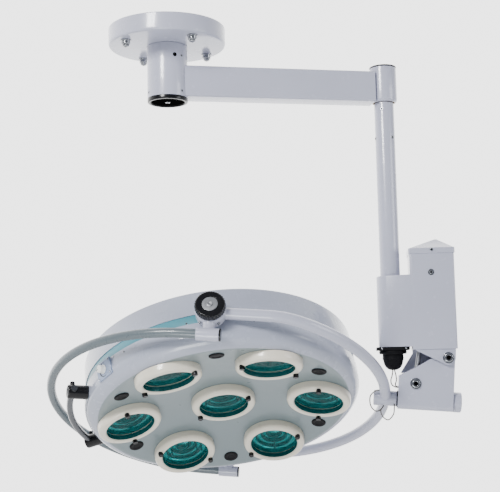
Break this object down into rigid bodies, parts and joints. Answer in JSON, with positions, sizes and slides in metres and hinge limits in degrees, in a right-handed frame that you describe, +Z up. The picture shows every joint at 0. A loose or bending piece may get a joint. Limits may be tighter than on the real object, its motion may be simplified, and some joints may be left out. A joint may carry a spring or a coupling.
{
  "type": "ceiling operating light",
  "caption": "Ceiling-mounted shadowless operating light: round multi-lens lamp head in a tilting yoke, on a spring-balanced drop arm that swivels from a horizontal ceiling arm",
  "frame": {"origin": "centre of the ceiling face of the flange", "axes": "+Z up to the ceiling, +X along the horizontal arm, +Y to the back"},
  "size_m": [1.0167, 0.7299, 1.1375],
  "materials": {
    "paint_white": "gloss",
    "paint_shell": "gloss",
    "paint_ring": "gloss",
    "paint_band": "satin",
    "bright_steel": "polished",
    "plain_steel": "satin",
    "bronze": "satin",
    "black_plastic": "gloss",
    "black_rubber": "matte",
    "lead_sheath": "satin",
    "cream_plastic": "gloss",
    "filter_glass": "gloss",
    "reflector_mirror": "polished",
    "bulb_glass": "gloss",
    "handle_steel": "satin",
    "switch_metal": "satin",
    "knob_plastic": "gloss",
    "frame_alu": "satin"
  },
  "bodies": {
    "ceiling": {"ceiling_flange": "paint_white", "flange_nuts": "bright_steel", "ceiling_spindle": "plain_steel", "spindle_nut": "plain_steel"},
    "arm": {"column_tube": "paint_white", "column_bushes": "bronze", "column_cap": "black_plastic", "column_screws": "bright_steel", "arm_beam": "paint_white", "outer_hub": "paint_white", "hub_cap": "black_plastic", "hub_bushes": "bronze"},
    "drop": {"drop_spigot": "plain_steel", "spigot_nut": "plain_steel", "drop_tube": "paint_white", "tube_screws": "bright_steel", "balance_bracket": "paint_white", "balance_cover": "paint_white", "balance_lid": "paint_white", "cover_screws": "bright_steel", "spring_seat": "plain_steel", "cable_boot": "black_rubber", "pivot_bolt": "bright_steel", "balance_spring": "plain_steel", "lead_wires": "lead_sheath"},
    "lift": {"lift_housing": "paint_white", "rod_pin": "bright_steel", "shaft_bushes": "bronze", "shaft_seal": "black_rubber"},
    "rod": {"spring_rod": "plain_steel", "rod_nut": "plain_steel"},
    "yoke": {"yoke_shaft": "plain_steel", "yoke_hub": "paint_white", "yoke_tube": "paint_white", "shaft_end_cap": "paint_white", "knuckle_near": "paint_white", "knuckle_far": "paint_white", "guard_ring": "paint_ring", "ring_plugs": "black_plastic", "knuckle_screws": "bright_steel", "tilt_bushes": "bronze", "hub_wires": "lead_sheath"},
    "brake_near": {"brake_knob_near": "black_plastic"},
    "brake_far": {"brake_knob_far": "black_plastic"},
    "head": {"tilt_pins": "plain_steel", "head_frame": "frame_alu", "back_shell": "paint_shell", "seam_band": "paint_band", "front_shell": "paint_shell", "bezels": "cream_plastic", "filter_glasses": "filter_glass", "reflectors": "reflector_mirror", "lamp_sockets": "cream_plastic", "bulbs": "bulb_glass", "thumb_screws": "black_plastic", "vent_plugs": "black_rubber", "handle_bar": "handle_steel", "handle_brackets": "black_plastic", "switch_plate": "switch_metal"},
    "dimmer": {"dimmer_knob": "knob_plastic"}
  },
  "joints": [
    {"name": "arm_swivel", "type": "hinge", "parent": "ceiling", "child": "arm", "pos_m": [0, 0, -0.1], "axis": [0, 0, 1], "range_deg": [-170, 170]},
    {"name": "drop_swivel", "type": "hinge", "parent": "arm", "child": "drop", "pos_m": [0.558, 0, -0.13], "axis": [0, 0, 1], "range_deg": [-165, 165]},
    {"name": "lift", "type": "hinge", "parent": "drop", "child": "lift", "pos_m": [0.6861, -0.03577, -0.8275], "axis": [0.2689, 0.9632, 0], "range_deg": [-15, 6], "deforming": ["balance_spring", "lead_wires"]},
    {"name": "rod_swing", "type": "hinge", "parent": "lift", "child": "rod", "pos_m": [0.60784, -0.01392, -0.88913], "axis": [0.2689, 0.9632, 0], "range_deg": [-3.3, 8.1]},
    {"name": "yoke_roll", "type": "hinge", "parent": "lift", "child": "yoke", "pos_m": [0.62008, -0.01733, -0.93029], "axis": [0.96, -0.268, -0.0809], "range_deg": [-21.6, 78.4]},
    {"name": "head_tilt", "type": "hinge", "parent": "yoke", "child": "head", "pos_m": [0.14123, 0.11636, -0.88994], "axis": [0.1995, 0.8576, -0.4741], "range_deg": [-33, 57]},
    {"name": "brake_near_turn", "type": "hinge", "parent": "yoke", "child": "brake_near", "pos_m": [0.06303, -0.21981, -0.70411], "axis": [-0.1995, -0.8576, 0.4741], "range_deg": [-180, 180]},
    {"name": "brake_far_turn", "type": "hinge", "parent": "yoke", "child": "brake_far", "pos_m": [0.21944, 0.45254, -1.07578], "axis": [0.1995, 0.8576, -0.4741], "range_deg": [-180, 180]},
    {"name": "dimmer_turn", "type": "hinge", "parent": "head", "child": "dimmer", "pos_m": [-0.1678, -0.04725, -0.83883], "axis": [-0.8669, -0.491, 0.0861], "range_deg": [-135, 135]}
  ],
  "couplings": [
    {"joint": "rod_swing", "follows": "lift", "ratio": -0.53}
  ]
}
